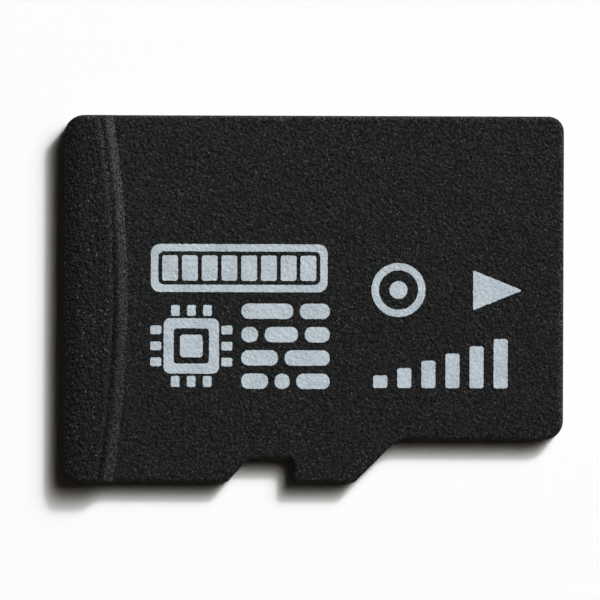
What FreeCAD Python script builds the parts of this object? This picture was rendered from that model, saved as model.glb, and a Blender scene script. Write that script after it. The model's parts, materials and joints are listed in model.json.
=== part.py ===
import FreeCAD, Part
import math
import os

import Sketcher

# A micro memory card, lying on its contact side with its label face up.
# +X points to the front edge, which goes into a socket first, and +Y to the straight long side.
# The origin is under the middle of the card's outline. All sizes are in millimetres.

SIZES = {
    # Outline, seen from above
    "card_length": 15.0,
    "step_depth": 1.3,
    "step_from_front": 6.25,
    "step_slope_run": 1.3,
    "tooth_length": 1.83,
    "notch_floor_length": 1.35,
    "notch_depth": 0.7,
    "notch_slope_run": 0.64,
    "rear_corner_radius": 0.62,
    "front_corner_radius": 0.47,
    "front_step_corner_radius": 0.57,
    "step_outer_radius": 0.2,
    "step_inner_radius": 0.8,
    "notch_corner_radius": 0.15,
    # Heights above the contact side
    "board_thickness": 0.2,
    "label_height": 0.7,
    # Pull ridge: a ramp along an arc, with a shallow valley behind its top
    "ridge_height": 0.3,
    "ridge_foot_from_rear": 1.92,
    "ridge_arc_radius": 34.0,
    "ridge_ramp_run": 0.26,
    "ridge_top_width": 0.05,
    "valley_front_run": 0.13,
    "valley_rear_run": 0.11,
    "valley_depth": 0.05,
    "rear_roll_run": 0.65,
    "rear_roll_drop": 0.27,
    # Edges
    "top_edge_radius": 0.1,
    "board_edge_chamfer": 0.06,
    # Contacts in the underside
    "contact_width": 0.8,
    "contact_gap": 0.3,
    "contact_side_margin": 0.6,
    "contact_front_margin": 1.1,
    "contact_length": 2.9,
    "power_contact_lead": 0.58,
    "contact_corner_radius": 0.2,
    "contact_thickness": 0.03,
    "contact_recess": 0.01,
    # Dies and their bonding films
    "memory_length": 6.6,
    "memory_width": 7.4,
    "memory_thickness": 0.08,
    "memory_rear_margin": 1.1,
    "memory_side_margin": 1.2,
    "stack_step": 0.5,
    "controller_length": 1.8,
    "controller_width": 2.6,
    "controller_thickness": 0.1,
    "controller_clearance": 0.4,
    "film_thickness": 0.015,
    # Chip capacitors
    "capacitor_length": 1.0,
    "capacitor_width": 0.5,
    "capacitor_height": 0.25,
    "capacitor_gap": 0.3,
    "capacitor_clearance": 0.35,
    "terminal_length": 0.25,
    "terminal_lip": 0.015,
    # Bond wires
    "wire_diameter": 0.026,
    "wire_loop_height": 0.07,
    "wire_pad_inset": 0.1,
    "memory_wire_margin": 0.5,
    "memory_wire_pitch": 0.8,
    "controller_wire_margin": 0.12,
    "controller_wire_pitch": 0.22,
    "lower_wire_reach": 0.4,
    "upper_wire_reach": 0.75,
    "controller_wire_reach": 0.45,
}

CONTACTS = 8
POWER_CONTACTS = (4, 6)
WIRE_FACETS = 6

# Places that several pieces share, worked out from the sheet
ROW_WIDTH = f"({CONTACTS} * Sizes.contact_width + {CONTACTS - 1} * Sizes.contact_gap)"
FRONT_WIDTH = f"({ROW_WIDTH} + 2 * Sizes.contact_side_margin)"
HALF_LENGTH = "(Sizes.card_length / 2)"
HALF_WIDTH = f"(({FRONT_WIDTH} + Sizes.step_depth) / 2)"
CONTACT_PITCH = "(Sizes.contact_width + Sizes.contact_gap)"
CONTACT_REAR_X = f"({HALF_LENGTH} - Sizes.contact_front_margin - Sizes.contact_length)"
POWER_LENGTH = "(Sizes.contact_length + Sizes.power_contact_lead)"
ROW_MIDDLE_Y = f"({HALF_WIDTH} - {FRONT_WIDTH} / 2)"
FIRST_CONTACT_Y = f"({ROW_MIDDLE_Y} - {ROW_WIDTH} / 2 + Sizes.contact_width / 2)"
SEAT_DEPTH = "(Sizes.contact_recess + Sizes.contact_thickness)"
LABEL_RISE = "(Sizes.label_height - Sizes.board_thickness)"
LIP_RISE = f"({LABEL_RISE} + Sizes.ridge_height)"
RIDGE_TOP_R = "(Sizes.ridge_arc_radius - Sizes.ridge_ramp_run)"
VALLEY_FRONT_R = f"({RIDGE_TOP_R} - Sizes.ridge_top_width)"
VALLEY_FLOOR_R = f"({VALLEY_FRONT_R} - Sizes.valley_front_run)"
VALLEY_REAR_R = f"({VALLEY_FLOOR_R} - Sizes.valley_rear_run)"
PAST_FRONT_R = "(Sizes.ridge_arc_radius + Sizes.card_length)"
ROLL_RADIUS = "((Sizes.rear_roll_run ^ 2 + Sizes.rear_roll_drop ^ 2) / (2 * Sizes.rear_roll_drop))"
LOWER_REAR_X = f"(-{HALF_LENGTH} + Sizes.memory_rear_margin)"
UPPER_REAR_X = f"({LOWER_REAR_X} - Sizes.stack_step)"
LOWER_FRONT_X = f"({LOWER_REAR_X} + Sizes.memory_length)"
MEMORY_LOW_Y = f"({HALF_WIDTH} - Sizes.memory_side_margin - Sizes.memory_width)"
LOWER_DIE_Z = "(Sizes.board_thickness + Sizes.film_thickness)"
UPPER_FILM_Z = f"({LOWER_DIE_Z} + Sizes.memory_thickness)"
UPPER_DIE_Z = f"({UPPER_FILM_Z} + Sizes.film_thickness)"
CONTROLLER_REAR_X = f"({LOWER_FRONT_X} + Sizes.upper_wire_reach + Sizes.controller_clearance)"
CONTROLLER_LOW_Y = f"({ROW_MIDDLE_Y} - Sizes.controller_width / 2)"

# Outline corners, numbered round the card from the rear corner of the stepped side
REAR_STEP_SIDE, NOTCH_MOUTH, NOTCH_SLOPE_TOP, NOTCH_WALL_TOP, NOTCH_WALL_FOOT = range(5)
STEP_OUTER, STEP_INNER, FRONT_STEP_SIDE, FRONT_STRAIGHT_SIDE, REAR_STRAIGHT_SIDE = range(5, 10)
CORNER_ROUNDS = {
    "rear_corner_radius": (REAR_STEP_SIDE, REAR_STRAIGHT_SIDE),
    "notch_corner_radius": (NOTCH_MOUTH, NOTCH_SLOPE_TOP, NOTCH_WALL_TOP, NOTCH_WALL_FOOT),
    "step_outer_radius": (STEP_OUTER,),
    "step_inner_radius": (STEP_INNER,),
    "front_corner_radius": (FRONT_STRAIGHT_SIDE,),
    "front_step_corner_radius": (FRONT_STEP_SIDE,),
}

ORIGIN, START, END, CENTRE = -1, 1, 2, 3
NEAR = 1e-6

doc = FreeCAD.newDocument("memory_card")
sheet = doc.addObject("Spreadsheet::Sheet", "Sizes")
for row, (alias, size) in enumerate(SIZES.items(), start=1):
    sheet.set(f"A{row}", alias)
    sheet.set(f"B{row}", str(size))
    sheet.setAlias(f"B{row}", alias)
doc.recompute()


def number(expression):
    """The value of an expression on the sheet's cells."""
    return float(sheet.evalExpression(expression))


def place(piece, x="0", y="0", z="0"):
    """Bind where a piece stands."""
    for axis, expression in zip("xyz", (x, y, z)):
        piece.setExpression(f"Placement.Base.{axis}", expression)


def new_body(label, x="0", y="0", z="0"):
    body = doc.addObject("PartDesign::Body", label)
    body.Label = label
    place(body, x, y, z)
    return body


def new_sketch(body, name, role):
    """A sketch on one of the body's own origin planes."""
    sketch = body.newObject("Sketcher::SketchObject", name)
    plane = next(p for p in body.Origin.OriginFeatures if p.Role == role)
    sketch.AttachmentSupport = [(plane, "")]
    sketch.MapMode = "FlatFace"
    return sketch


def dimension(sketch, kind, references, expression):
    """Add a sketch dimension and bind it to the sheet."""
    constraint = Sketcher.Constraint(kind, *references, number(expression))
    index = sketch.addConstraint(constraint)
    sketch.setExpression(f"Constraints[{index}]", expression)


def closed_polygon(sketch, points):
    """Straight sides joined end to end, held level or upright where they are drawn so."""
    corners = [FreeCAD.Vector(x, y, 0) for x, y in points]
    count = len(corners)
    for i, corner in enumerate(corners):
        sketch.addGeometry(Part.LineSegment(corner, corners[(i + 1) % count]))
    for i, corner in enumerate(corners):
        side = corners[(i + 1) % count] - corner
        sketch.addConstraint(Sketcher.Constraint("Coincident", i, END, (i + 1) % count, START))
        if abs(side.y) < NEAR:
            sketch.addConstraint(Sketcher.Constraint("Horizontal", i))
        elif abs(side.x) < NEAR:
            sketch.addConstraint(Sketcher.Constraint("Vertical", i))


def solid_feature(body, kind, name, sketch):
    feature = body.newObject(f"PartDesign::{kind}", name)
    feature.Profile = sketch
    return feature


def cut_more(before, after):
    """Stop if a cut took nothing away."""
    doc.recompute()
    if not after.Shape.Volume < before.Shape.Volume - NEAR:
        raise RuntimeError(f"{after.Name} cut nothing")
    return after


def card_outline(body, name):
    """The card seen from above, with square corners."""
    sketch = new_sketch(body, name, "XY_Plane")
    front = number(HALF_LENGTH)
    side = number(HALF_WIDTH)
    step = front - number("Sizes.step_from_front")
    shoulder = step + number("Sizes.step_slope_run")
    narrow = -side + number("Sizes.step_depth")
    wall = step - number("Sizes.tooth_length")
    slope_top = wall - number("Sizes.notch_floor_length")
    mouth = slope_top - number("Sizes.notch_slope_run")
    floor = -side + number("Sizes.notch_depth")
    closed_polygon(sketch, [
        (-front, -side), (mouth, -side), (slope_top, floor), (wall, floor), (wall, -side),
        (step, -side), (shoulder, narrow), (front, narrow), (front, side), (-front, side),
    ])
    in_line = (NOTCH_MOUTH, START, NOTCH_WALL_FOOT, START)
    sketch.addConstraint(Sketcher.Constraint("Horizontal", *in_line))
    for kind, first, second, expression in (
        ("DistanceX", (REAR_STEP_SIDE, START), (ORIGIN, START), HALF_LENGTH),
        ("DistanceX", (ORIGIN, START), (FRONT_STEP_SIDE, START), HALF_LENGTH),
        ("DistanceY", (REAR_STEP_SIDE, START), (ORIGIN, START), HALF_WIDTH),
        ("DistanceY", (ORIGIN, START), (REAR_STRAIGHT_SIDE, START), HALF_WIDTH),
        ("DistanceY", (STEP_OUTER, START), (STEP_INNER, START), "Sizes.step_depth"),
        ("DistanceX", (STEP_OUTER, START), (FRONT_STEP_SIDE, START), "Sizes.step_from_front"),
        ("DistanceX", (STEP_OUTER, START), (STEP_INNER, START), "Sizes.step_slope_run"),
        ("DistanceX", (NOTCH_WALL_FOOT, START), (STEP_OUTER, START), "Sizes.tooth_length"),
        ("DistanceX", (NOTCH_SLOPE_TOP, START), (NOTCH_WALL_TOP, START), "Sizes.notch_floor_length"),
        ("DistanceX", (NOTCH_MOUTH, START), (NOTCH_SLOPE_TOP, START), "Sizes.notch_slope_run"),
        ("DistanceY", (NOTCH_MOUTH, START), (NOTCH_SLOPE_TOP, START), "Sizes.notch_depth"),
    ):
        dimension(sketch, kind, first + second, expression)
    return sketch


def upright_edges(shape, points):
    """Names of the upright edges that stand over the given points of the outline."""
    found = []
    for index, edge in enumerate(shape.Edges, start=1):
        foot, head = edge.Vertexes[0].Point, edge.Vertexes[-1].Point
        upright = math.hypot(foot.x - head.x, foot.y - head.y) < NEAR and foot.z != head.z
        if upright and any(math.hypot(foot.x - p.x, foot.y - p.y) < NEAR for p in points):
            found.append(f"Edge{index}")
    return found


def level_edges(shape, height):
    """Names of the outline's edges at one height, without the arc at the foot of the ridge."""
    found = []
    for index, edge in enumerate(shape.Edges, start=1):
        box = edge.BoundBox
        level = abs(box.ZMin - height) < NEAR and abs(box.ZMax - height) < NEAR
        arc = isinstance(edge.Curve, Part.Circle)
        at_foot = arc and abs(edge.Curve.Radius - number("Sizes.ridge_arc_radius")) < NEAR
        if level and not at_foot:
            found.append(f"Edge{index}")
    return found


def dress_up(body, kind, name, base, edges, size_name, expression):
    """A fillet or chamfer on named edges of the feature before it."""
    feature = body.newObject(f"PartDesign::{kind}", name)
    feature.Base = (base, edges)
    feature.setExpression(size_name, expression)
    doc.recompute()
    return feature


def card_slab(body, name, thickness):
    """The card's outline made solid, with its upright corners rounded."""
    sketch = card_outline(body, f"{name}_outline")
    feature = solid_feature(body, "Pad", f"{name}_slab", sketch)
    feature.setExpression("Length", thickness)
    doc.recompute()
    corners = [sketch.getPoint(i, START) for i in range(len(sketch.Geometry))]
    for radius, numbers in CORNER_ROUNDS.items():
        edges = upright_edges(feature.Shape, [corners[i] for i in numbers])
        feature = dress_up(body, "Fillet", f"{name}_{radius}", feature, edges, "Radius", f"Sizes.{radius}")
    return feature


def turned_cut(body, name, base, points):
    """A cut turned about the upright axis at the centre of the ridge's arc. Points are radius and height."""
    sketch = new_sketch(body, f"{name}_profile", "XZ_Plane")
    axis_x = f"-{HALF_LENGTH} + Sizes.ridge_foot_from_rear - Sizes.ridge_arc_radius"
    sketch.setExpression("AttachmentOffset.Base.x", axis_x)
    closed_polygon(sketch, [(number(r), number(z)) for r, z in points])
    last = len(points) - 1
    for i, (radius, height) in enumerate(points):
        level_with = points[i - 1:i] + (points[:1] if i == last else [])
        if all(radius != other for other, _ in level_with):
            dimension(sketch, "DistanceX", (ORIGIN, START, i, START), radius)
        if all(height != other for _, other in level_with):
            dimension(sketch, "DistanceY", (ORIGIN, START, i, START), height)
    groove = solid_feature(body, "Groove", name, sketch)
    groove.ReferenceAxis = (sketch, ["V_Axis"])
    groove.Angle = 360
    return cut_more(base, groove)


def rear_roll(body, base):
    """The pull area's top, rolled down to the rear edge along a straight arc-shaped cut."""
    sketch = new_sketch(body, "rear_roll_profile", "XZ_Plane")
    radius = number(ROLL_RADIUS)
    rear_x = -number(HALF_LENGTH)
    start_x = rear_x + number("Sizes.rear_roll_run")
    past_x = rear_x - number("Sizes.rear_roll_run")
    top = number(LIP_RISE)
    low = top - number("Sizes.rear_roll_drop")
    over = top + number("Sizes.rear_roll_drop")
    turn = math.asin(number("Sizes.rear_roll_run") / radius)
    circle = Part.Circle(FreeCAD.Vector(start_x, top - radius, 0), FreeCAD.Vector(0, 0, 1), radius)
    arc = sketch.addGeometry(Part.ArcOfCircle(circle, math.pi / 2, math.pi / 2 + turn))
    corners = [(rear_x, low), (past_x, low), (past_x, over), (start_x, over), (start_x, top)]
    points = [FreeCAD.Vector(x, z, 0) for x, z in corners]
    out, up, across, down = (
        sketch.addGeometry(Part.LineSegment(a, b)) for a, b in zip(points, points[1:])
    )
    for constraint in (
        ("Coincident", arc, END, out, START),
        ("Coincident", out, END, up, START),
        ("Coincident", up, END, across, START),
        ("Coincident", across, END, down, START),
        ("Coincident", down, END, arc, START),
        ("Horizontal", out),
        ("Vertical", up),
        ("Horizontal", across),
        ("Vertical", down),
        ("Vertical", arc, CENTRE, arc, START),
    ):
        sketch.addConstraint(Sketcher.Constraint(*constraint))
    dimension(sketch, "Radius", (arc,), ROLL_RADIUS)
    dimension(sketch, "DistanceX", (arc, END, ORIGIN, START), HALF_LENGTH)
    dimension(sketch, "DistanceX", (arc, END, arc, START), "Sizes.rear_roll_run")
    dimension(sketch, "DistanceY", (ORIGIN, START, arc, START), LIP_RISE)
    dimension(sketch, "DistanceX", (out, END, out, START), "Sizes.rear_roll_run")
    dimension(sketch, "DistanceY", (down, END, down, START), "Sizes.rear_roll_drop")
    pocket = solid_feature(body, "Pocket", "rear_roll", sketch)
    pocket.SideType = "Symmetric"
    pocket.setExpression("Length", f"4 * {HALF_WIDTH}")
    return cut_more(base, pocket)


def moulding():
    """The moulding's outer form: slab, lowered label face, curved pull ridge, valley and rear roll."""
    body = new_body("moulding_form", z="Sizes.board_thickness")
    slab = card_slab(body, "moulding", LIP_RISE)
    radius = "Sizes.top_edge_radius"
    lip_edges = level_edges(slab.Shape, number(LIP_RISE))
    lip = dress_up(body, "Fillet", "lip_edge", slab, lip_edges, "Radius", radius)
    above = f"({LIP_RISE} + Sizes.ridge_height)"
    ridge = "Sizes.ridge_arc_radius"
    label = turned_cut(body, "label_face", lip, [
        (PAST_FRONT_R, LABEL_RISE), (ridge, LABEL_RISE), (RIDGE_TOP_R, LIP_RISE),
        (RIDGE_TOP_R, above), (PAST_FRONT_R, above),
    ])
    valley = turned_cut(body, "valley", label, [
        (VALLEY_FRONT_R, above), (VALLEY_FRONT_R, LIP_RISE),
        (VALLEY_FLOOR_R, f"({LIP_RISE} - Sizes.valley_depth)"),
        (VALLEY_REAR_R, LIP_RISE), (VALLEY_REAR_R, above),
    ])
    rolled = rear_roll(body, valley)
    label_edges = level_edges(rolled.Shape, number(LABEL_RISE))
    body.Tip = dress_up(body, "Fillet", "label_edge", rolled, label_edges, "Radius", radius)
    return body


def rounded_bar(sketch, length):
    """A contact's outline: its rear end on the sketch's upright axis, its middle on the level one."""
    long = number(length)
    half = number("Sizes.contact_width / 2")
    radius = number("Sizes.contact_corner_radius")
    up = FreeCAD.Vector(0, 0, 1)
    lines = [
        ((radius, -half), (long - radius, -half)),
        ((long, -half + radius), (long, half - radius)),
        ((long - radius, half), (radius, half)),
        ((0, half - radius), (0, -half + radius)),
    ]
    centres = [
        (long - radius, -half + radius), (long - radius, half - radius),
        (radius, half - radius), (radius, -half + radius),
    ]
    for start, end in lines:
        sketch.addGeometry(Part.LineSegment(FreeCAD.Vector(*start, 0), FreeCAD.Vector(*end, 0)))
    for i, (x, y) in enumerate(centres):
        circle = Part.Circle(FreeCAD.Vector(x, y, 0), up, radius)
        first = (i - 1) * math.pi / 2
        sketch.addGeometry(Part.ArcOfCircle(circle, first, first + math.pi / 2))
    for i in range(4):
        arc = 4 + i
        sketch.addConstraint(Sketcher.Constraint("Tangent", i, END, arc, START))
        sketch.addConstraint(Sketcher.Constraint("Tangent", arc, END, (i + 1) % 4, START))
        sketch.addConstraint(Sketcher.Constraint("Vertical" if i % 2 else "Horizontal", i))
        if i:
            sketch.addConstraint(Sketcher.Constraint("Equal", 4, arc))
    dimension(sketch, "Radius", (4,), "Sizes.contact_corner_radius")
    dimension(sketch, "DistanceX", (ORIGIN, START, 1, START), length)
    dimension(sketch, "DistanceX", (3, START, 1, END), length)
    dimension(sketch, "DistanceY", (0, START, ORIGIN, START), "Sizes.contact_width / 2")
    dimension(sketch, "DistanceY", (0, START, 2, END), "Sizes.contact_width")


def contact_y(index):
    return f"({FIRST_CONTACT_Y} + {index - 1} * {CONTACT_PITCH})"


def seat_row(body, base, name, length, first, count, spacing):
    """A row of contact seats, cut upwards into the underside."""
    sketch = new_sketch(body, f"{name}_outline", "XY_Plane")
    sketch.setExpression("AttachmentOffset.Base.x", CONTACT_REAR_X)
    sketch.setExpression("AttachmentOffset.Base.y", contact_y(first))
    rounded_bar(sketch, length)
    pocket = solid_feature(body, "Pocket", name, sketch)
    pocket.Reversed = True
    pocket.setExpression("Length", SEAT_DEPTH)
    cut_more(base, pocket)
    pattern = body.newObject("PartDesign::LinearPattern", f"{name}_row")
    pattern.Originals = [pocket]
    pattern.Direction = (sketch, ["V_Axis"])
    pattern.Mode = "Spacing"
    pattern.setExpression("Offset", spacing)
    pattern.Occurrences = count
    body.Tip = pattern
    return cut_more(pocket, pattern)


def laminate_board():
    """The board under the moulding, with a seat for each contact."""
    body = new_body("laminate_board")
    slab = card_slab(body, "board", "Sizes.board_thickness")
    edges = level_edges(slab.Shape, 0)
    slab = dress_up(body, "Chamfer", "board_edge", slab, edges, "Size", "Sizes.board_edge_chamfer")
    seats = seat_row(body, slab, "signal_seat", "Sizes.contact_length", 1, CONTACTS, CONTACT_PITCH)
    first, last = POWER_CONTACTS
    power_spacing = f"{last - first} * {CONTACT_PITCH}"
    seat_row(body, seats, "power_seat", POWER_LENGTH, first, len(POWER_CONTACTS), power_spacing)
    return body


def contact(index):
    """One gold plated contact, set back a little from the underside."""
    length = POWER_LENGTH if index in POWER_CONTACTS else "Sizes.contact_length"
    body = new_body(f"contact_{index}", CONTACT_REAR_X, contact_y(index), "Sizes.contact_recess")
    sketch = new_sketch(body, f"contact_{index}_outline", "XY_Plane")
    rounded_bar(sketch, length)
    pad = solid_feature(body, "Pad", f"contact_{index}_plate", sketch)
    pad.setExpression("Length", "Sizes.contact_thickness")
    return body


def block(label, x, y, z, length, width, height):
    """A plain rectangular piece."""
    box = doc.addObject("Part::Box", label)
    box.Label = label
    for name, expression in (("Length", length), ("Width", width), ("Height", height)):
        box.setExpression(name, expression)
    place(box, x, y, z)
    return box


def memory_stack():
    """Two memory dies on their films, the upper one set back so that the lower one's pads stay clear."""
    plan = ("Sizes.memory_length", "Sizes.memory_width")
    film = plan + ("Sizes.film_thickness",)
    die = plan + ("Sizes.memory_thickness",)
    return [
        block("lower_die_film", LOWER_REAR_X, MEMORY_LOW_Y, "Sizes.board_thickness", *film),
        block("lower_memory_die", LOWER_REAR_X, MEMORY_LOW_Y, LOWER_DIE_Z, *die),
        block("upper_die_film", UPPER_REAR_X, MEMORY_LOW_Y, UPPER_FILM_Z, *film),
        block("upper_memory_die", UPPER_REAR_X, MEMORY_LOW_Y, UPPER_DIE_Z, *die),
    ]


def controller():
    """The controller die on its film, in front of the memory."""
    plan = ("Sizes.controller_length", "Sizes.controller_width")
    low = (CONTROLLER_REAR_X, CONTROLLER_LOW_Y)
    return [
        block("controller_film", *low, "Sizes.board_thickness", *plan, "Sizes.film_thickness"),
        block("controller_die", *low, LOWER_DIE_Z, *plan, "Sizes.controller_thickness"),
    ]


def capacitor(label, low_y):
    """A chip capacitor: a ceramic block between two slightly larger terminals."""
    lip = "Sizes.terminal_lip"
    length = "Sizes.capacitor_length"
    width = "Sizes.capacitor_width"
    height = "Sizes.capacitor_height"
    terminal = "Sizes.terminal_length"
    base = "Sizes.board_thickness"
    far_x = f"{CONTROLLER_REAR_X} + {length} - {terminal}"
    ceramic = block(
        f"{label}_ceramic", CONTROLLER_REAR_X, f"{low_y} + {lip}", base,
        length, f"{width} - 2 * {lip}", f"{height} - {lip}",
    )
    near_end = block(f"{label}_near_terminal", CONTROLLER_REAR_X, low_y, base, terminal, width, height)
    far_end = block(f"{label}_far_terminal", far_x, low_y, base, terminal, width, height)
    whole = doc.addObject("Part::MultiFuse", label)
    whole.Label = label
    whole.Shapes = [ceramic, near_end, far_end]
    whole.Refine = True
    return whole


def capacitors():
    """Two capacitors on each side of the controller, clear of its wires."""
    width = "Sizes.capacitor_width"
    pitch = f"({width} + Sizes.capacitor_gap)"
    clear = "(Sizes.controller_wire_reach + Sizes.capacitor_clearance)"
    above = f"({CONTROLLER_LOW_Y} + Sizes.controller_width + {clear})"
    below = f"({CONTROLLER_LOW_Y} - {clear} - {width})"
    low_sides = [f"{below} - {pitch}", below, above, f"{above} + {pitch}"]
    return [capacitor(f"capacitor_{i}", low_y) for i, low_y in enumerate(low_sides, start=1)]


def bond_wire(pad, finger):
    """One wire: up from a die's pad, over and down to a finger of the board."""
    radius = number("Sizes.wire_diameter") / 2
    rise = FreeCAD.Vector(0, 0, number("Sizes.wire_loop_height"))
    path = Part.Wire(Part.makePolygon([pad, pad + rise, finger + rise, finger]).Edges)
    turns = [2 * math.pi * k / WIRE_FACETS for k in range(WIRE_FACETS + 1)]
    ring = [pad + FreeCAD.Vector(radius * math.cos(a), radius * math.sin(a), 0) for a in turns]
    section = Part.Wire(Part.makePolygon(ring).Edges)
    return path.makePipeShell([section], True, False, 1)


def wire_group(label, wires):
    group = doc.addObject("Part::Feature", label)
    group.Label = label
    group.Shape = Part.makeCompound([bond_wire(pad, finger) for pad, finger in wires])
    group.Placement = FreeCAD.Placement()
    return group


def spread(low, length, margin, pitch, shift=0.0):
    """Places along a die's edge: as many as fit between its end margins, moved by a share of the pitch."""
    spacing = number(pitch)
    count = math.floor((number(length) - 2 * number(margin)) / spacing + NEAR)
    middle = number(low) + number(length) / 2
    return [middle + (i - (count - 1) / 2 + shift) * spacing for i in range(count)]


def memory_wires(label, front_x, die_z, reach, shift):
    """Wires from the front edge of a memory die to the board in front of the lower die."""
    pad_x = number(front_x) - number("Sizes.wire_pad_inset")
    pad_z = number(die_z) + number("Sizes.memory_thickness")
    finger_x = number(LOWER_FRONT_X) + number(reach)
    finger_z = number("Sizes.board_thickness")
    edge = (MEMORY_LOW_Y, "Sizes.memory_width", "Sizes.memory_wire_margin", "Sizes.memory_wire_pitch")
    wires = []
    for y in spread(*edge, shift):
        wires.append((FreeCAD.Vector(pad_x, y, pad_z), FreeCAD.Vector(finger_x, y, finger_z)))
    return wire_group(label, wires)


def controller_wires():
    """Wires from the two long sides of the controller to the board."""
    low_y = number(CONTROLLER_LOW_Y)
    high_y = low_y + number("Sizes.controller_width")
    inset = number("Sizes.wire_pad_inset")
    reach = number("Sizes.controller_wire_reach")
    pad_z = number(LOWER_DIE_Z) + number("Sizes.controller_thickness")
    finger_z = number("Sizes.board_thickness")
    edge = (CONTROLLER_REAR_X, "Sizes.controller_length")
    spacing = ("Sizes.controller_wire_margin", "Sizes.controller_wire_pitch")
    wires = []
    for x in spread(*edge, *spacing):
        for pad_y, finger_y in ((low_y + inset, low_y - reach), (high_y - inset, high_y + reach)):
            wires.append((FreeCAD.Vector(x, pad_y, pad_z), FreeCAD.Vector(x, finger_y, finger_z)))
    return wire_group("controller_bond_wires", wires)


def bond_wires():
    """The wires of each die. Those of the two memory dies lie between one another."""
    upper_front = f"({UPPER_REAR_X} + Sizes.memory_length)"
    aside = 0.25
    return [
        memory_wires("lower_bond_wires", LOWER_FRONT_X, LOWER_DIE_Z, "Sizes.lower_wire_reach", -aside),
        memory_wires("upper_bond_wires", upper_front, UPPER_DIE_Z, "Sizes.upper_wire_reach", aside),
        controller_wires(),
    ]


def moulded_body(embedded):
    """The moulding, which fills all the room round the pieces on the board."""
    form = moulding()
    core = doc.addObject("Part::MultiFuse", "embedded_pieces")
    core.Shapes = embedded
    whole = doc.addObject("Part::Cut", "moulded_body")
    whole.Label = "moulded_body"
    whole.Base = form
    whole.Tool = core
    return whole


def checked(pieces):
    """Stop if a feature failed or a piece isn't one or more whole solids."""
    doc.recompute()
    for thing in doc.Objects:
        if "Invalid" in thing.State or "Error" in thing.State:
            raise RuntimeError(f"{thing.Name} failed: {thing.State}")
    for piece in pieces:
        shape = piece.Shape
        if shape.isNull() or not shape.isValid() or not shape.Solids:
            raise RuntimeError(f"{piece.Label} has no valid solid")
    return pieces


embedded = memory_stack() + controller() + capacitors() + bond_wires()
contacts = [contact(index) for index in range(1, CONTACTS + 1)]
pieces = checked([moulded_body(embedded), laminate_board()] + contacts + embedded)

os.makedirs("parts", exist_ok=True)
for piece in pieces:
    piece.Shape.exportStep(f"parts/{piece.Label}.step")
    print(piece.Label, len(piece.Shape.Solids), round(piece.Shape.Volume, 5))
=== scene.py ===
import json
import math

import bpy
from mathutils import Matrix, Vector, noise
from mathutils.geometry import tessellate_polygon


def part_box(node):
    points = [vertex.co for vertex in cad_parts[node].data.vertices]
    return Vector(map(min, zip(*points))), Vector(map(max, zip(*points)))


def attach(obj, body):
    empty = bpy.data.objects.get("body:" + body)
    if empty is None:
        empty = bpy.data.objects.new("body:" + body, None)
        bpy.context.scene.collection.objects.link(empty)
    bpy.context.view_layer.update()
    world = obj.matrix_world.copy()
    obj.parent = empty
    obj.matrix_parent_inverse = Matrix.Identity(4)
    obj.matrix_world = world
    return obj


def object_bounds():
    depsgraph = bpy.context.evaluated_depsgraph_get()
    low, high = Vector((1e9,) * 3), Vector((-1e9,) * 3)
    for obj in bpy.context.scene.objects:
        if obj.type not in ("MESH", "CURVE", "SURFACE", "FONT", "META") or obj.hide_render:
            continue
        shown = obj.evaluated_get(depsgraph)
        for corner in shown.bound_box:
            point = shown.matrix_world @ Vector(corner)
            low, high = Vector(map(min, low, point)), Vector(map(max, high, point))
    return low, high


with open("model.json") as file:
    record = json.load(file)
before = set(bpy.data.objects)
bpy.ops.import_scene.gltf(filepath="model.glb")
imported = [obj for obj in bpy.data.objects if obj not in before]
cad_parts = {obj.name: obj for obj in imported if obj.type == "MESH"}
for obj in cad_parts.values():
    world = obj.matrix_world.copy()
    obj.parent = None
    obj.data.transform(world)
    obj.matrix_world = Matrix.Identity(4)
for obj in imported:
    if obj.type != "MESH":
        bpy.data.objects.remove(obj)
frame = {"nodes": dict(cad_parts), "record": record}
cad_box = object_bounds()

# A micro memory card, lying with its label face up. +X is its front edge, +Y its straight long side.
# Sizes of the print and of the finishes are in millimetres, and MM turns them into the scene's metres.
MM = 0.001

# Camera
VIEW_WIDTH = 18.0 * MM
VIEW_DISTANCE = 350 * MM
VIEW_ROLL = math.radians(0.2)
VIEW_AIM = Vector((-0.405, -0.03, 0.7)) * MM
SENSOR_WIDTH = 36.0

# Light and floor. The lamp's level is over 1 to make up for the width and the tints of its discs.
KEY_DISTANCE = 3.0
KEY_LEVEL = 1.0885
# Discs that make up the lamp, from its bright foot to its wide, soft and warmer top: each one's slopes,
# width and colour. Together they are neutral.
KEY_DISCS = (
    (Vector((0.81, 0.97, 1.0)), 0.29, (0.955, 0.9685, 1.0)),
    (Vector((0.8, 0.87, 1.0)), 0.97, (0.955, 0.9685, 1.0)),
    (Vector((0.785, 0.765, 1.0)), 1.65, (0.93, 0.963, 1.0)),
    (Vector((0.77, 0.66, 1.0)), 2.33, (1.0, 0.94, 0.84)),
)
SHADE_COLOUR = (0.011, 0.0093, 0.0063, 1)
BACKGROUND_WHITE = (1, 1, 1, 1)
FLOOR_WIDTH = 3.0
FLOOR_COLOUR = (0.985, 0.985, 0.985, 1)

# Arc of the pull ridge's foot on the label face, seen from above
RIDGE_FOOT_X = -5.58
RIDGE_ARC_RADIUS = 34.0

# Middle of the grain's relief, which runs from 0 to 1
GRAIN_MIDDLE = 0.5
# Dents of the moulded grain: their size, and their depths on the face and where the card is gripped
DENT_SIZE = 0.115
DENT_DETAIL = 1.4
DENT_DEPTHS = (0.077, 0.108)
# Depth of the dents under the ink
INKED_DEPTH = 0.026
# The saw's marks on the walls: their depth, how many there are to a millimetre along each axis, their
# share of the colour, and their colour
SAW_DEPTH = 0.002
SAW_MARKS = (0.5, 0.5, 22.0)
SAW_SHARE = 0.5
SAW_COLOUR = (0.02, 0.0205, 0.02)

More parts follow.
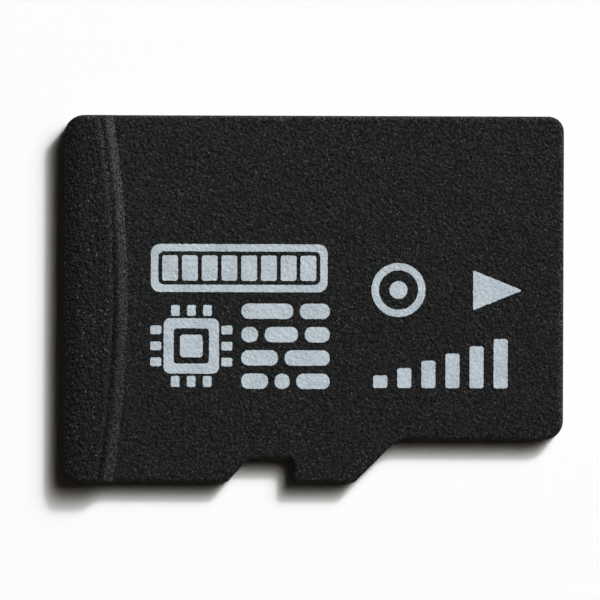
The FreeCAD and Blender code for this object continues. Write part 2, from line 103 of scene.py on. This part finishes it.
# Painted highlight on the pull ridge: a painted sheen on its ramp and in the valley behind it, and a
# painted highlight line on the valley's rear edge: the distances behind the foot where each starts, is
# full, fades and ends, the places across the card where it is least and most, and its shares there
RIDGE_HIGHLIGHT = (
    ((-0.03, 0.04, 0.18, 0.3), (-3.0, 6.0), (0.37, 0.95)),
    ((0.2, 0.3, 0.44, 0.52), (-1.5, 4.5), (0.0, 0.22)),
    ((0.36, 0.41, 0.45, 0.5), (-2.0, 5.0), (0.0, 0.9)),
)
# How far the grain moves the edges of that painted highlight and of the gripped area
RIDGE_EDGES_UNEVEN = 0.12
# Where the gripped area behind the ridge starts and is full
GRIP_FROM = (0.5, 0.62)
# Faint painted sheen over the face: the places across the card where it is least and most, and its share at
# most
FACE_ACROSS = (-4.5, 5.5)
FACE_SHEEN = 0.06
# Painted highlight along the front edge and the straight side, the two edges that face the lamp
RIM_WIDTH = 0.22
RIM_HIGHLIGHT = 0.6
# How far below the label face the ridge's painted highlight ends, and where the rim's painted highlight
# ends and is full
RIDGE_HIGHLIGHT_BELOW = 0.04
RIM_HIGHLIGHT_BELOW = (0.1, 0.04)

# Print
INK_THICKNESS = 0.008
OUTLINE_SPACING = 0.03
RAGGED_DEPTH = 0.014
RAGGED_SIZE = 0.07


def label_height():
    """Height of the flat label face in millimetres, found under the middle of the card."""
    graph = bpy.context.evaluated_depsgraph_get()
    body = frame["nodes"]["moulded_body"].evaluated_get(graph)
    above = Vector((0, 0, 2 * cad_box[1].z))
    found, point, _, _ = body.ray_cast(above, Vector((0, 0, -1)))
    if not found:
        raise RuntimeError("the label face isn't under the middle of the card")
    return point.z / MM


def add_node(tree, kind, values=None, **settings):
    """Add a node with its settings. A plain value is set on its input, and a socket is linked to it."""
    made = tree.nodes.new(kind)
    for name, setting in settings.items():
        setattr(made, name, setting)
    for name, value in (values or {}).items():
        if isinstance(value, bpy.types.NodeSocket):
            tree.links.new(value, made.inputs[name])
        else:
            made.inputs[name].default_value = value
    return made


def calc(tree, operation, *operands):
    """The result of a sum on values."""
    return add_node(tree, "ShaderNodeMath", dict(enumerate(operands)), operation=operation).outputs[0]


def rise(tree, value, low, high):
    """A smooth rise from 0 at low to 1 at high. It falls where low is the larger."""
    ends = {"Value": value, "From Min": low, "From Max": high}
    made = add_node(tree, "ShaderNodeMapRange", ends, interpolation_type="SMOOTHSTEP")
    return made.outputs["Result"]


def spread(tree, value, low, high):
    """A value from 0 to 1, spread between two others."""
    ends = {"Value": value, "To Min": low, "To Max": high}
    return add_node(tree, "ShaderNodeMapRange", ends).outputs["Result"]


def tint(tree, value, stops):
    """A colour looked up between stops, each a position and a colour."""
    made = add_node(tree, "ShaderNodeValToRGB", {"Fac": value})
    ramp = made.color_ramp
    while len(ramp.elements) < len(stops):
        ramp.elements.new(1.0)
    for element, (position, colour) in zip(ramp.elements, stops):
        element.position = position
        element.color = (*colour, 1)
    return made.outputs["Color"]


def blend(tree, share, first, second):
    """The first colour where share is 0, and the second where it is 1."""
    made = add_node(tree, "ShaderNodeMix", data_type="RGBA")
    tree.links.new(share, made.inputs["Factor"])
    for socket, colour in ((made.inputs[6], first), (made.inputs[7], second)):
        if isinstance(colour, bpy.types.NodeSocket):
            tree.links.new(colour, socket)
        else:
            socket.default_value = (*colour, 1)
    return made.outputs[2]


def distance(tree, x, y):
    """Length of a run with two parts at right angles."""
    squares = [calc(tree, "POWER", part, 2.0) for part in (x, y)]
    return calc(tree, "SQRT", calc(tree, "ADD", *squares))


def cloud(tree, place, detail, roughness=0.5):
    """Even noise with about one rise and fall to each step of the place."""
    values = {"Vector": place, "Scale": 1.0, "Detail": detail, "Roughness": roughness}
    return add_node(tree, "ShaderNodeTexNoise", values).outputs["Fac"]


def card_place(tree):
    """Where a point of the card is, in millimetres."""
    place = add_node(tree, "ShaderNodeTexCoord").outputs["Object"]
    values = {0: place, "Scale": 1 / MM}
    return add_node(tree, "ShaderNodeVectorMath", values, operation="SCALE").outputs[0]


def card_axes(tree):
    """The X, Y and Z of a point of the card, in millimetres."""
    return add_node(tree, "ShaderNodeSeparateXYZ", {"Vector": card_place(tree)}).outputs


def place_in_steps(tree, size):
    """Where a point of the card is, counted in steps of a given size."""
    values = {0: card_place(tree), "Scale": calc(tree, "DIVIDE", 1.0, size)}
    return add_node(tree, "ShaderNodeVectorMath", values, operation="SCALE").outputs[0]


def stretched_place(tree, steps):
    """Where a point of the card is, with its own number of steps to a millimetre along each axis."""
    values = {0: card_place(tree), 1: steps}
    return add_node(tree, "ShaderNodeVectorMath", values, operation="MULTIPLY").outputs[0]


def new_effect(name, inputs, outputs):
    """An empty shared effect with named values in and out."""
    tree = bpy.data.node_groups.new(name, "ShaderNodeTree")
    for label, value in inputs.items():
        socket = tree.interface.new_socket(label, in_out="INPUT", socket_type="NodeSocketFloat")
        socket.default_value = value
    for label in outputs:
        tree.interface.new_socket(label, in_out="OUTPUT", socket_type="NodeSocketFloat")
    return tree, tree.nodes.new("NodeGroupInput").outputs


def end_effect(tree, results):
    """Link an effect's results to its values out."""
    out = tree.nodes.new("NodeGroupOutput")
    for label, socket in results.items():
        tree.links.new(socket, out.inputs[label])
    return tree


def use_effect(tree, effect, **values):
    """Place a shared effect in a material. Its values are named as its inputs are, in lower case."""
    made = tree.nodes.new("ShaderNodeGroup")
    made.node_tree = effect
    for name, value in values.items():
        made.inputs[name.replace("_", " ").title()].default_value = value
    return made.outputs


def surface_grain():
    """Fine moulded grain: its relief, and a few flecks that stand out."""
    roughness, cells_per_step, fleck_edge, fleck_middle = 0.6, 0.7, 0.6, 0.1
    inputs = {"Size": 0.05, "Detail": 2.0, "Fleck Share": 0.03}
    tree, given = new_effect("surface_grain", inputs, ("Relief", "Flecks"))
    place = place_in_steps(tree, given["Size"])
    relief = cloud(tree, place, given["Detail"], roughness)
    cells = add_node(tree, "ShaderNodeTexVoronoi", {"Vector": place, "Scale": cells_per_step}).outputs
    draw = add_node(tree, "ShaderNodeSeparateColor", {"Color": cells["Color"]}).outputs["Red"]
    chosen = calc(tree, "GREATER_THAN", draw, calc(tree, "SUBTRACT", 1.0, given["Fleck Share"]))
    dot = rise(tree, cells["Distance"], fleck_edge, fleck_middle)
    return end_effect(tree, {"Relief": relief, "Flecks": calc(tree, "MULTIPLY", chosen, dot)})


def soft_patches():
    """Slow uneven patches over a surface."""
    tree, given = new_effect("soft_patches", {"Size": 2.0}, ("Patches",))
    patches = cloud(tree, place_in_steps(tree, given["Size"]), detail=3.0)
    return end_effect(tree, {"Patches": patches})


def slide_scuffs():
    """Fine scuffs along the card, the way it slides into a socket."""
    faint, full = 0.48, 0.72
    tree, given = new_effect("slide_scuffs", {"Width": 0.02, "Length": 1.0}, ("Scuffs",))
    across = calc(tree, "DIVIDE", 1.0, given["Width"])
    along = calc(tree, "DIVIDE", 1.0, given["Length"])
    steps = add_node(tree, "ShaderNodeCombineXYZ", {"X": along, "Y": across, "Z": across}).outputs[0]
    streaks = cloud(tree, stretched_place(tree, steps), detail=2.0)
    return end_effect(tree, {"Scuffs": rise(tree, streaks, faint, full)})


LABEL_TOP = label_height()
GRAIN = surface_grain()
PATCHES = soft_patches()
SCUFFS = slide_scuffs()


def new_finish(name, **values):
    """An empty material whose shader has some of its values set."""
    material = bpy.data.materials.new(name)
    material.use_nodes = True
    tree = material.node_tree
    shader = tree.nodes["Principled BSDF"]
    for label, value in values.items():
        shader.inputs[label.replace("_", " ")].default_value = value
    return material, tree, shader.inputs


def set_surface(tree, sockets, colour, roughness):
    """Link a colour and a roughness that change over the surface."""
    tree.links.new(colour, sockets["Base Color"])
    tree.links.new(roughness, sockets["Roughness"])


def set_relief(tree, sockets, height, depth=1.0, strength=1.0):
    """Bump from a height. A height of 1 stands for the given depth in millimetres."""
    values = {"Height": height, "Strength": strength, "Distance": depth * MM}
    bump = add_node(tree, "ShaderNodeBump", values)
    tree.links.new(bump.outputs["Normal"], sockets["Normal"])


def behind_ridge(tree, place, relief):
    """How far a point is behind the foot of the pull ridge, made uneven by the grain."""
    from_centre = calc(tree, "SUBTRACT", place["X"], RIDGE_FOOT_X - RIDGE_ARC_RADIUS)
    reach = distance(tree, from_centre, place["Y"])
    uneven = calc(tree, "MULTIPLY", calc(tree, "SUBTRACT", relief, GRAIN_MIDDLE), RIDGE_EDGES_UNEVEN)
    return calc(tree, "ADD", calc(tree, "SUBTRACT", RIDGE_ARC_RADIUS, reach), uneven)


def ridge_painted_highlight(tree, place, behind):
    """Share of painted highlight on the pull ridge: painted sheen on the ramp and in the valley, and a
    painted highlight line on the valley's rear edge, more towards the straight side, where the lamp is.
    """
    highlight_share = 0.0
    for (start, full, fading, end), across, shares in RIDGE_HIGHLIGHT:
        along = calc(tree, "MULTIPLY", rise(tree, behind, start, full), rise(tree, behind, end, fading))
        share = spread(tree, rise(tree, place["Y"], *across), *shares)
        highlight_share = calc(tree, "ADD", highlight_share, calc(tree, "MULTIPLY", along, share))
    on_top = rise(tree, place["Z"], LABEL_TOP - RIDGE_HIGHLIGHT_BELOW, LABEL_TOP)
    return calc(tree, "MULTIPLY", highlight_share, on_top)


def rim_painted_highlight(tree, place):
    """Share of painted highlight along the front edge and the straight side, the edges that face the lamp.
    """
    _, high = cad_box
    end, full = RIM_HIGHLIGHT_BELOW
    to_front = calc(tree, "SUBTRACT", high.x / MM, place["X"])
    to_side = calc(tree, "SUBTRACT", high.y / MM, place["Y"])
    near = rise(tree, calc(tree, "MINIMUM", to_front, to_side), RIM_WIDTH, 0.0)
    on_top = rise(tree, place["Z"], LABEL_TOP - end, LABEL_TOP - full)
    return calc(tree, "MULTIPLY", calc(tree, "MULTIPLY", near, on_top), RIM_HIGHLIGHT)


def face_painted_sheen(tree, place):
    """Share of painted sheen over the face, a little more towards the straight side, where the lamp is."""
    return calc(tree, "MULTIPLY", rise(tree, place["Y"], *FACE_ACROSS), FACE_SHEEN)


def saw_marks(tree):
    """Level marks of the saw, on the upright walls only."""
    sloping, upright, faint, full = 0.35, 0.1, 0.45, 0.62
    facing = add_node(tree, "ShaderNodeTexCoord").outputs["Normal"]
    facing_up = add_node(tree, "ShaderNodeSeparateXYZ", {"Vector": facing}).outputs["Z"]
    on_walls = rise(tree, calc(tree, "ABSOLUTE", facing_up), sloping, upright)
    marks = cloud(tree, stretched_place(tree, SAW_MARKS), detail=2.0)
    return calc(tree, "MULTIPLY", rise(tree, marks, faint, full), on_walls)


def moulding_compound():
    """Black moulding compound with a fine matt grain and a faint sparkle."""
    face_fleck, gripped_fleck = (0.068, 0.07, 0.071), (0.108, 0.113, 0.114)
    material, tree, sockets = new_finish("moulding_compound", Specular_IOR_Level=0.02)
    grain = use_effect(tree, GRAIN, size=0.045, fleck_share=0.05)
    relief = grain["Relief"]
    speckle = tint(tree, relief, [
        (0.36, (0.0046, 0.0047, 0.0046)),
        (0.5, (0.0122, 0.0126, 0.0124)),
        (0.64, (0.0252, 0.026, 0.0256)),
        (0.8, (0.0464, 0.0478, 0.0471)),
    ])
    gripped = tint(tree, relief, [
        (0.36, (0.0024, 0.0026, 0.0024)),
        (0.5, (0.0098, 0.0103, 0.0102)),
        (0.64, (0.0278, 0.029, 0.0286)),
        (0.8, (0.0609, 0.0637, 0.0626)),
    ])
    # Painted highlight colour: the grain as if lit up, laid on the ridge, on the lit edges and faintly over
    # the face
    highlight_tint = tint(tree, relief, [
        (0.36, (0.0023, 0.0024, 0.0023)),
        (0.5, (0.0268, 0.0287, 0.0276)),
        (0.64, (0.0973, 0.1041, 0.1)),
        (0.8, (0.2688, 0.2877, 0.2768)),
    ])
    place = card_axes(tree)
    behind = behind_ridge(tree, place, relief)
    grip = rise(tree, behind, *GRIP_FROM)
    # Where highlights and sheen are painted: on the ridge, on the edges facing the lamp and faintly over
    # the face
    painted_light = calc(tree, "MAXIMUM", ridge_painted_highlight(tree, place, behind), rim_painted_highlight(tree, place))
    painted_light = calc(tree, "MAXIMUM", painted_light, face_painted_sheen(tree, place))
    sawn = saw_marks(tree)
    colour = blend(tree, painted_light, blend(tree, grip, speckle, gripped), highlight_tint)
    colour = blend(tree, grain["Flecks"], colour, blend(tree, grip, face_fleck, gripped_fleck))
    colour = blend(tree, calc(tree, "MULTIPLY", sawn, SAW_SHARE), colour, SAW_COLOUR)
    patches = use_effect(tree, PATCHES, size=3.0)["Patches"]
    set_surface(tree, sockets, colour, spread(tree, patches, 0.42, 0.58))
    dents = use_effect(tree, GRAIN, size=DENT_SIZE, detail=DENT_DETAIL)["Relief"]
    dents = calc(tree, "SUBTRACT", dents, GRAIN_MIDDLE)
    dents = calc(tree, "MULTIPLY", dents, spread(tree, grip, *DENT_DEPTHS))
    set_relief(tree, sockets, calc(tree, "ADD", dents, calc(tree, "MULTIPLY", sawn, SAW_DEPTH)))
    return material


def print_ink():
    """Pale ink, mottled where the grain shows through."""
    grain_share, patch_share = 0.7, 0.3
    material, tree, sockets = new_finish("print_ink", Specular_IOR_Level=0.2)
    relief = use_effect(tree, GRAIN, size=0.05)["Relief"]
    patches = use_effect(tree, PATCHES, size=0.6)["Patches"]
    fine = calc(tree, "MULTIPLY", relief, grain_share)
    slow = calc(tree, "MULTIPLY", patches, patch_share)
    colour = tint(tree, calc(tree, "ADD", fine, slow), [
        (0.3, (0.279, 0.326, 0.361)),
        (0.5, (0.446, 0.508, 0.557)),
        (0.7, (0.563, 0.638, 0.69)),
    ])
    set_surface(tree, sockets, colour, spread(tree, relief, 0.4, 0.7))
    dents = use_effect(tree, GRAIN, size=DENT_SIZE, detail=DENT_DETAIL)["Relief"]
    set_relief(tree, sockets, dents, INKED_DEPTH)
    return material


def copper_tracks(tree, place):
    """Mask of the tracks that run back from the contacts, each to a pad with a hole in it."""
    shortest, longest, track_edge, track_full = 0.9, 3.2, 0.09, 0.05
    pad_edge, pad_full, hole_edge, hole_clear = 0.2, 0.16, 0.09, 0.05
    contacts = sum(name.startswith("contact_") for name in frame["nodes"])
    first_low, first_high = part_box("contact_1")
    next_low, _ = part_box("contact_2")
    pitch = (next_low.y - first_low.y) / MM
    first_y = (first_low.y + first_high.y) / 2 / MM
    rear_x = first_low.x / MM
    row = calc(tree, "DIVIDE", calc(tree, "SUBTRACT", place["Y"], first_y), pitch)
    nearest = calc(tree, "ROUND", row)
    off_row = calc(tree, "ABSOLUTE", calc(tree, "SUBTRACT", row, nearest))
    aside = calc(tree, "MULTIPLY", off_row, pitch)
    draw = add_node(tree, "ShaderNodeTexWhiteNoise", {"W": nearest}, noise_dimensions="1D").outputs["Value"]
    end_x = spread(tree, draw, rear_x - longest, rear_x - shortest)
    past_end = calc(tree, "SUBTRACT", place["X"], end_x)
    in_length = calc(tree, "GREATER_THAN", past_end, 0.0)
    track = calc(tree, "MULTIPLY", rise(tree, aside, track_edge, track_full), in_length)
    reach = distance(tree, past_end, aside)
    round_hole = rise(tree, reach, hole_clear, hole_edge)
    pad = calc(tree, "MULTIPLY", rise(tree, reach, pad_edge, pad_full), round_hole)
    from_first = calc(tree, "GREATER_THAN", row, -0.5)
    to_last = calc(tree, "LESS_THAN", row, contacts - 0.5)
    in_rows = calc(tree, "MULTIPLY", from_first, to_last)
    return calc(tree, "MULTIPLY", calc(tree, "MAXIMUM", track, pad), in_rows)


def board_mask():
    """Dark mask over the laminate, with the tracks behind the contacts just showing, and a layered edge."""
    ply, mask_top, core_from, grain_height = 0.03, 0.062, 0.07, 0.3
    material, tree, sockets = new_finish("board_mask", Specular_IOR_Level=0.35)
    place = card_axes(tree)
    copper = copper_tracks(tree, place)
    relief = use_effect(tree, GRAIN, size=0.06)["Relief"]
    mask = tint(tree, relief, [(0.3, (0.009, 0.0095, 0.008)), (0.7, (0.018, 0.019, 0.016))])
    mask = blend(tree, copper, mask, (0.026, 0.027, 0.02))
    plies = calc(tree, "DIVIDE", calc(tree, "PINGPONG", place["Z"], ply), ply)
    core = tint(tree, plies, [(0.0, (0.016, 0.014, 0.008)), (1.0, (0.04, 0.035, 0.02))])
    colour = blend(tree, rise(tree, place["Z"], mask_top, core_from), mask, core)
    set_surface(tree, sockets, colour, spread(tree, relief, 0.3, 0.55))
    height = calc(tree, "ADD", copper, calc(tree, "MULTIPLY", relief, grain_height))
    set_relief(tree, sockets, height, depth=0.01, strength=0.5)
    return material


def gold_plate():
    """Bright gold plating, scuffed along the card by socket springs."""
    scuff_share, scuff_roughness, scuff_colour = 0.5, 0.18, (0.9, 0.73, 0.42)
    material, tree, sockets = new_finish("gold_plate", Metallic=1.0)
    scuffs = use_effect(tree, SCUFFS, width=0.03, length=1.6)["Scuffs"]
    patches = use_effect(tree, PATCHES, size=0.5)["Patches"]
    gold = tint(tree, patches, [(0.3, (0.72, 0.47, 0.16)), (0.7, (0.88, 0.64, 0.27))])
    colour = blend(tree, calc(tree, "MULTIPLY", scuffs, scuff_share), gold, scuff_colour)
    rougher = calc(tree, "MULTIPLY", scuffs, scuff_roughness)
    set_surface(tree, sockets, colour, calc(tree, "ADD", spread(tree, patches, 0.16, 0.3), rougher))
    set_relief(tree, sockets, scuffs, depth=0.002, strength=0.4)
    return material


def wire_gold():
    """Drawn gold wire."""
    material, tree, sockets = new_finish("wire_gold", Metallic=1.0)
    patches = use_effect(tree, PATCHES, size=0.1)["Patches"]
    colour = tint(tree, patches, [(0.3, (0.8, 0.54, 0.2)), (0.7, (0.92, 0.68, 0.3))])
    set_surface(tree, sockets, colour, spread(tree, patches, 0.15, 0.35))
    return material


def die_silicon():
    """Polished silicon with the streets between its blocks."""
    half_block_x, half_block_y, street_edge, street_full = 0.45, 0.3, 0.03, 0.015
    material, tree, sockets = new_finish("die_silicon", Metallic=0.4)
    place = card_axes(tree)
    street_x = rise(tree, calc(tree, "PINGPONG", place["X"], half_block_x), street_edge, street_full)
    street_y = rise(tree, calc(tree, "PINGPONG", place["Y"], half_block_y), street_edge, street_full)
    streets = calc(tree, "MAXIMUM", street_x, street_y)
    patches = use_effect(tree, PATCHES, size=1.0)["Patches"]
    blocks = tint(tree, patches, [(0.3, (0.13, 0.14, 0.19)), (0.7, (0.22, 0.22, 0.27))])
    colour = blend(tree, streets, blocks, (0.32, 0.3, 0.26))
    set_surface(tree, sockets, colour, spread(tree, streets, 0.12, 0.3))
    return material


def bonding_film():
    """Amber bonding film."""
    material, tree, sockets = new_finish("bonding_film")
    patches = use_effect(tree, PATCHES, size=0.4)["Patches"]
    colour = tint(tree, patches, [(0.3, (0.34, 0.26, 0.13)), (0.7, (0.5, 0.41, 0.25))])
    set_surface(tree, sockets, colour, spread(tree, patches, 0.3, 0.5))
    return material


def capacitor_ceramic():
    """Brown fired ceramic between tinned ends."""
    fired_share, tinned_share = 0.48, 0.52
    material, tree, sockets = new_finish("capacitor_ceramic")
    low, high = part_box("capacitor_1")
    middle = (low.x + high.x) / 2 / MM
    half = (high.x - low.x) / 2 / MM
    from_middle = calc(tree, "ABSOLUTE", calc(tree, "SUBTRACT", card_axes(tree)["X"], middle))
    ends = rise(tree, from_middle, half * fired_share, half * tinned_share)
    relief = use_effect(tree, GRAIN, size=0.04)["Relief"]
    fired = tint(tree, relief, [(0.3, (0.27, 0.17, 0.09)), (0.7, (0.4, 0.27, 0.16))])
    tinned = tint(tree, relief, [(0.3, (0.5, 0.5, 0.48)), (0.7, (0.68, 0.68, 0.66))])
    set_surface(tree, sockets, blend(tree, ends, fired, tinned), spread(tree, relief, 0.3, 0.5))
    tree.links.new(ends, sockets["Metallic"])
    return material


FINISHES = {
    finish.__name__: finish()
    for finish in (
        moulding_compound, print_ink, board_mask, gold_plate, wire_gold, die_silicon, bonding_film,
        capacitor_ceramic,
    )
}


def dress(piece, slot):
    """Give a piece the finish of one of the record's slots."""
    piece.data.materials.clear()
    piece.data.materials.append(FINISHES[slot])


def dress_card():
    """Give each of the card's own parts its finish."""
    for part in frame["record"]["subparts"]:
        dress(frame["nodes"][part["node"]], part["material_slot"])


def rounded_polygon(corners, radius):
    """An outline with straight sides and round corners. The corners run anticlockwise."""
    points = []
    for i, corner in enumerate(corners):
        into = (corner - corners[i - 1]).normalized()
        out = (corners[(i + 1) % len(corners)] - corner).normalized()
        turn = math.atan2(into.x * out.y - into.y * out.x, into.dot(out))
        centre = corner + (out - into).normalized() * radius / math.cos(turn / 2)
        first = math.atan2(-into.x, into.y)
        steps = max(3, math.ceil(radius * turn / OUTLINE_SPACING))
        for k in range(steps + 1):
            angle = first + turn * k / steps
            points.append(centre + radius * Vector((math.cos(angle), math.sin(angle))))
    return points


def rounded_box(x, y, width, height, radius):
    """A box outline from its lower left corner."""
    corners = ((x, y), (x + width, y), (x + width, y + height), (x, y + height))
    return rounded_polygon([Vector(corner) for corner in corners], radius)


def disc(x, y, radius):
    """A round outline."""
    steps = math.ceil(2 * math.pi * radius / OUTLINE_SPACING)
    angles = [2 * math.pi * k / steps for k in range(steps)]
    return [Vector((x + radius * math.cos(a), y + radius * math.sin(a))) for a in angles]


def close_points(outline):
    """The outline with points added along its straight sides."""
    points = []
    for i, point in enumerate(outline):
        step = outline[(i + 1) % len(outline)] - point
        count = max(1, round(step.length / OUTLINE_SPACING))
        points += [point + step * k / count for k in range(count)]
    return points


def ragged(outline):
    """The outline moved in and out a little, as ink runs over a grain."""
    points = close_points(outline)
    moved = []
    for i, point in enumerate(points):
        along = points[(i + 1) % len(points)] - points[i - 1]
        outward = Vector((along.y, -along.x)).normalized()
        moved.append(point + outward * RAGGED_DEPTH * noise.noise(point.to_3d() / RAGGED_SIZE))
    return moved


def ink_shape(outlines, vertices, faces):
    """Add one flat shape: an outline, and any outlines cut out of it."""
    loops = [ragged(outlines[0])] + [ragged(hole)[::-1] for hole in outlines[1:]]
    points = [point for loop in loops for point in loop]
    base, count = len(vertices), len(points)
    for z in (LABEL_TOP, LABEL_TOP + INK_THICKNESS):
        vertices += [(point.x * MM, point.y * MM, z * MM) for point in points]
    for corners in tessellate_polygon([[point.to_3d() for point in loop] for loop in loops]):
        a, b, c = (points[i] for i in corners)
        if (b - a).cross(c - a) < 0:
            corners = corners[::-1]
        faces.append([base + i for i in reversed(corners)])
        faces.append([base + count + i for i in corners])
    start = base
    for loop in loops:
        for i in range(len(loop)):
            a, b = start + i, start + (i + 1) % len(loop)
            faces.append([a, b, b + count, a + count])
        start += len(loop)


def print_piece(name, shapes):
    """A piece of the print, made of flat shapes on the label face."""
    vertices, faces = [], []
    for outlines in shapes:
        ink_shape(outlines, vertices, faces)
    mesh = bpy.data.meshes.new(name)
    mesh.from_pydata(vertices, [], faces)
    piece = bpy.data.objects.new(name, mesh)
    bpy.context.scene.collection.objects.link(piece)
    dress(piece, "print_ink")
    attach(piece, "root")


def print_arrow():
    """The mark that points to the front edge."""
    rear, tip, middle, half, radius = 4.79, 6.27, 0.28, 0.6, 0.03
    corners = [Vector((rear, middle - half)), Vector((tip, middle)), Vector((rear, middle + half))]
    print_piece("print_arrow", [[rounded_polygon(corners, radius)]])


def print_target():
    """A ring with a dot in it."""
    x, y, radius, stroke, dot = 2.55, 0.28, 0.81, 0.22, 0.27
    ring = [disc(x, y, radius), disc(x, y, radius - stroke)]
    print_piece("print_target", [ring, [disc(x, y, dot)]])


def print_bars():
    """A row of rising bars."""
    left, base, width, pitch, count = 1.8, -2.66, 0.42, 0.722, 6
    lowest, highest, radius = 0.38, 1.48, 0.07
    shapes = []
    for i in range(count):
        height = lowest + (highest - lowest) * i / (count - 1)
        shapes.append([rounded_box(left + i * pitch, base, width, height, radius)])
    print_piece("print_bars", shapes)


def print_chip():
    """A chip with pins on its four sides."""
    x, y, side, stroke, core, radius = -3.66, -1.42, 1.66, 0.3, 0.68, 0.2
    pin_width, pin_length, pin_pitch, pin_gap, pin_radius = 0.26, 0.33, 0.48, 0.07, 0.05
    half = side / 2
    inner = side - 2 * stroke
    shapes = [
        [rounded_box(x - half, y - half, side, side, radius),
         rounded_box(x - inner / 2, y - inner / 2, inner, inner, radius / 2)],
        [rounded_box(x - core / 2, y - core / 2, core, core, radius / 2)],
    ]
    for place in (-pin_pitch, 0, pin_pitch):
        edge = place - pin_width / 2
        for start in (-half - pin_gap - pin_length, half + pin_gap):
            shapes.append([rounded_box(x + start, y + edge, pin_length, pin_width, pin_radius)])
            shapes.append([rounded_box(x + edge, y + start, pin_width, pin_length, pin_radius)])
    print_piece("print_chip", shapes)


def print_lines():
    """Four rows of dashes beside the chip."""
    left, top, height, pitch, gap = -2.16, -0.6, 0.46, 0.7, 0.2
    radius = height / 2.2
    rows = ((1.55, 0.9), (0.5, 1.0, 0.75), (1.1, 1.35), (0.8, 0.45, 1.0))
    shapes = []
    for i, dashes in enumerate(rows):
        x = left
        for length in dashes:
            shapes.append([rounded_box(x, top - i * pitch, length, height, radius)])
            x += length + gap
    print_piece("print_lines", shapes)


def print_cells():
    """A frame round a row of cells."""
    left, base, width, height, stroke, radius = -4.88, 0.2, 5.3, 1.44, 0.22, 0.28
    count, gap, cell_radius = 8, 0.12, 0.07
    inside = stroke + gap
    cell_width = (width - 2 * inside - (count - 1) * gap) / count
    cell_height = height - 2 * inside
    hole_width = width - 2 * stroke
    hole_height = height - 2 * stroke
    shapes = [[
        rounded_box(left, base, width, height, radius),
        rounded_box(left + stroke, base + stroke, hole_width, hole_height, radius - stroke / 2),
    ]]
    for i in range(count):
        x = left + inside + i * (cell_width + gap)
        shapes.append([rounded_box(x, base + inside, cell_width, cell_height, cell_radius)])
    print_piece("print_cells", shapes)


def white_floor():
    """A plain white floor that keeps the card's shadow."""
    half = FLOOR_WIDTH / 2
    corners = [(-half, -half, 0), (half, -half, 0), (half, half, 0), (-half, half, 0)]
    mesh = bpy.data.meshes.new("floor")
    mesh.from_pydata(corners, [], [(0, 1, 2, 3)])
    floor = bpy.data.objects.new("floor", mesh)
    bpy.context.scene.collection.objects.link(floor)
    looks = {"Base_Color": FLOOR_COLOUR, "Roughness": 0.9, "Specular_IOR_Level": 0.0}
    material, _, _ = new_finish("floor_white", **looks)
    mesh.materials.append(material)


def soft_key():
    """A soft lamp to the front and the straight side, brightest at its foot.

    A small neutral lamp of level 1 would render white as white.
    """
    for slopes, width, colour in KEY_DISCS:
        towards = slopes.normalized()
        lamp = bpy.data.lights.new("soft_key", "AREA")
        lamp.shape = "DISK"
        lamp.size = width
        lamp.color = colour
        lamp.energy = KEY_LEVEL * (math.pi * KEY_DISTANCE) ** 2 / towards.z / len(KEY_DISCS)
        key = bpy.data.objects.new("soft_key", lamp)
        key.location = towards * KEY_DISTANCE
        key.rotation_euler = towards.to_track_quat("Z", "Y").to_euler()
        bpy.context.scene.collection.objects.link(key)


def white_room():
    """A white background to look at and reflect, which gives the shadows only a little light."""
    world = bpy.data.worlds.new("white_room")
    bpy.context.scene.world = world
    world.use_nodes = True
    tree = world.node_tree
    tree.nodes.clear()
    seen = add_node(tree, "ShaderNodeLightPath").outputs
    mirrored = calc(tree, "MAXIMUM", seen["Is Glossy Ray"], seen["Is Transmission Ray"])
    seen_or_mirrored = calc(tree, "MAXIMUM", seen["Is Camera Ray"], mirrored)
    unscattered = calc(tree, "LESS_THAN", seen["Diffuse Depth"], 0.5)
    shown = calc(tree, "MULTIPLY", seen_or_mirrored, unscattered)
    shade = add_node(tree, "ShaderNodeBackground", {"Color": SHADE_COLOUR}).outputs[0]
    white = add_node(tree, "ShaderNodeBackground", {"Color": BACKGROUND_WHITE}).outputs[0]
    mixed = add_node(tree, "ShaderNodeMixShader", {0: shown, 1: shade, 2: white}).outputs[0]
    add_node(tree, "ShaderNodeOutputWorld", {"Surface": mixed})


def photo_camera():
    """A long lens straight above the card."""
    data = bpy.data.cameras.new("photo_camera")
    data.sensor_width = SENSOR_WIDTH
    data.lens = SENSOR_WIDTH * VIEW_DISTANCE / VIEW_WIDTH
    data.clip_start = VIEW_DISTANCE / 10
    data.clip_end = VIEW_DISTANCE * 10
    camera = bpy.data.objects.new("photo_camera", data)
    camera.rotation_euler = (0, 0, VIEW_ROLL)
    camera.location = VIEW_AIM + Vector((0, 0, VIEW_DISTANCE))
    bpy.context.scene.collection.objects.link(camera)
    bpy.context.scene.camera = camera


dress_card()
print_arrow()
print_target()
print_bars()
print_chip()
print_lines()
print_cells()
white_floor()
soft_key()
white_room()
photo_camera()
bpy.context.scene.view_settings.view_transform = "Standard"
